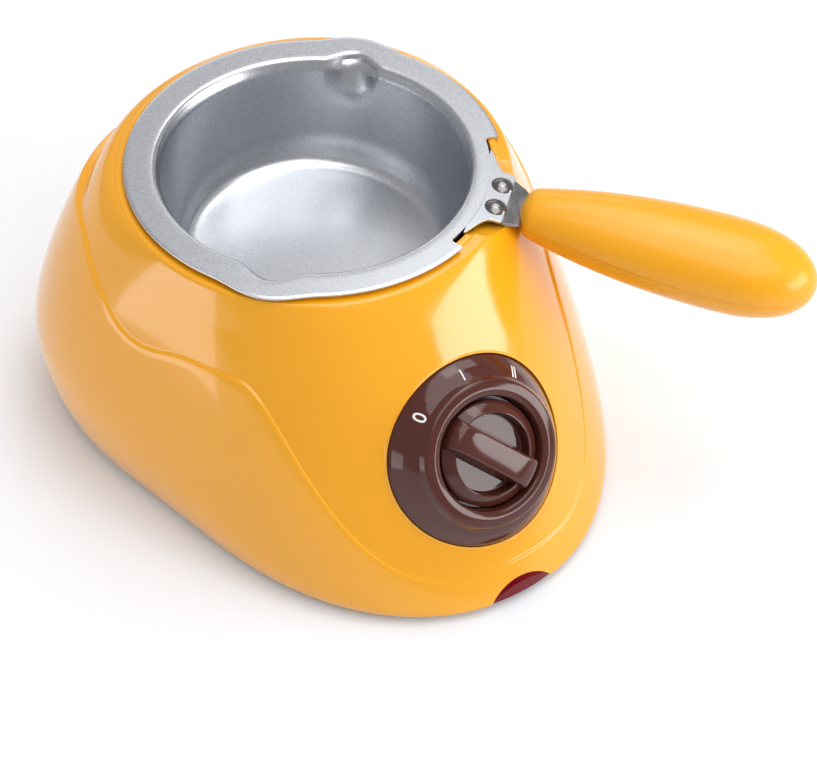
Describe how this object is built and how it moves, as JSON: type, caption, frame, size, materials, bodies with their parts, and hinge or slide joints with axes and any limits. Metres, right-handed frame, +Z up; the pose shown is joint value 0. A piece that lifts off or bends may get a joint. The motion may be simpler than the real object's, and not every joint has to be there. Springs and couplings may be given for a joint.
{
  "type": "chocolate melting pot",
  "caption": "Electric melting pot: a round aluminium pot with a spout on each side and a side handle hangs in a heated plastic housing with a rotary dial on its sloping front.",
  "frame": {"origin": "middle of the bounding box in plan, on the surface that the feet stand on, with the handle fitted", "axes": "+Z up, -Y towards the dial and the nose of the housing, +X to the right of the dial; the pot's axis is vertical at x = -12.3 mm, y = 21.4 mm"},
  "size_m": [0.1969, 0.1963, 0.0951],
  "materials": {
    "shell": "high gloss, warm orange-yellow",
    "dark_plastic": "moulded black",
    "rubber": "soft black",
    "steel": "bright pressed steel",
    "aluminium": "satin spun aluminium",
    "mica": "mica sheet",
    "ivory_plastic": "moulded ivory",
    "brown_gloss": "high gloss chocolate brown",
    "red_lens": "clear dark red",
    "lamp_glass": "clear glass",
    "wire_brown": "wire sleeve",
    "wire_blue": "wire sleeve"
  },
  "bodies": {
    "base": {"housing": "shell", "base_cover": "dark_plastic", "foot_front_left": "rubber", "foot_front_right": "rubber", "foot_rear_left": "rubber", "foot_rear_right": "rubber", "base_screws": "steel", "well_liner": "steel", "liner_screws": "steel", "heating_plate": "aluminium", "plate_screws": "steel", "insulation_disc": "mica", "heating_element": "dark_plastic", "clamp_plate": "steel", "clamp_nut": "steel", "thermostat": "dark_plastic", "thermal_fuse": "ivory_plastic", "dial_plate": "brown_gloss", "switch_body": "dark_plastic", "switch_nut": "steel", "lamp_lens": "red_lens", "neon_lamp": "lamp_glass", "lamp_holder": "ivory_plastic", "terminal_block": "ivory_plastic", "terminal_screws": "steel", "cord_gland": "rubber", "supply_lead": "wire_brown", "heater_lead": "wire_brown", "fuse_lead": "wire_blue", "link_lead": "wire_blue", "neutral_lead": "wire_blue", "lamp_leads": "wire_blue"},
    "knob": {"knob": "brown_gloss", "switch_shaft": "steel"},
    "pot": {"pot": "aluminium", "handle_bracket": "steel", "handle_rivets": "steel", "handle_upper": "shell", "handle_lower": "shell", "handle_screw": "steel"}
  },
  "joints": [
    {"name": "knob_turn", "type": "hinge", "parent": "base", "child": "knob", "pos_m": [-0.01234, -0.07144, 0.0446], "axis": [0, 0.8337, -0.5523], "range_deg": [0, 84]},
    {"name": "pot_lift", "type": "slide", "parent": "base", "child": "pot", "axis": [0, 0, 1], "range_m": [0, 0.06]}
  ]
}
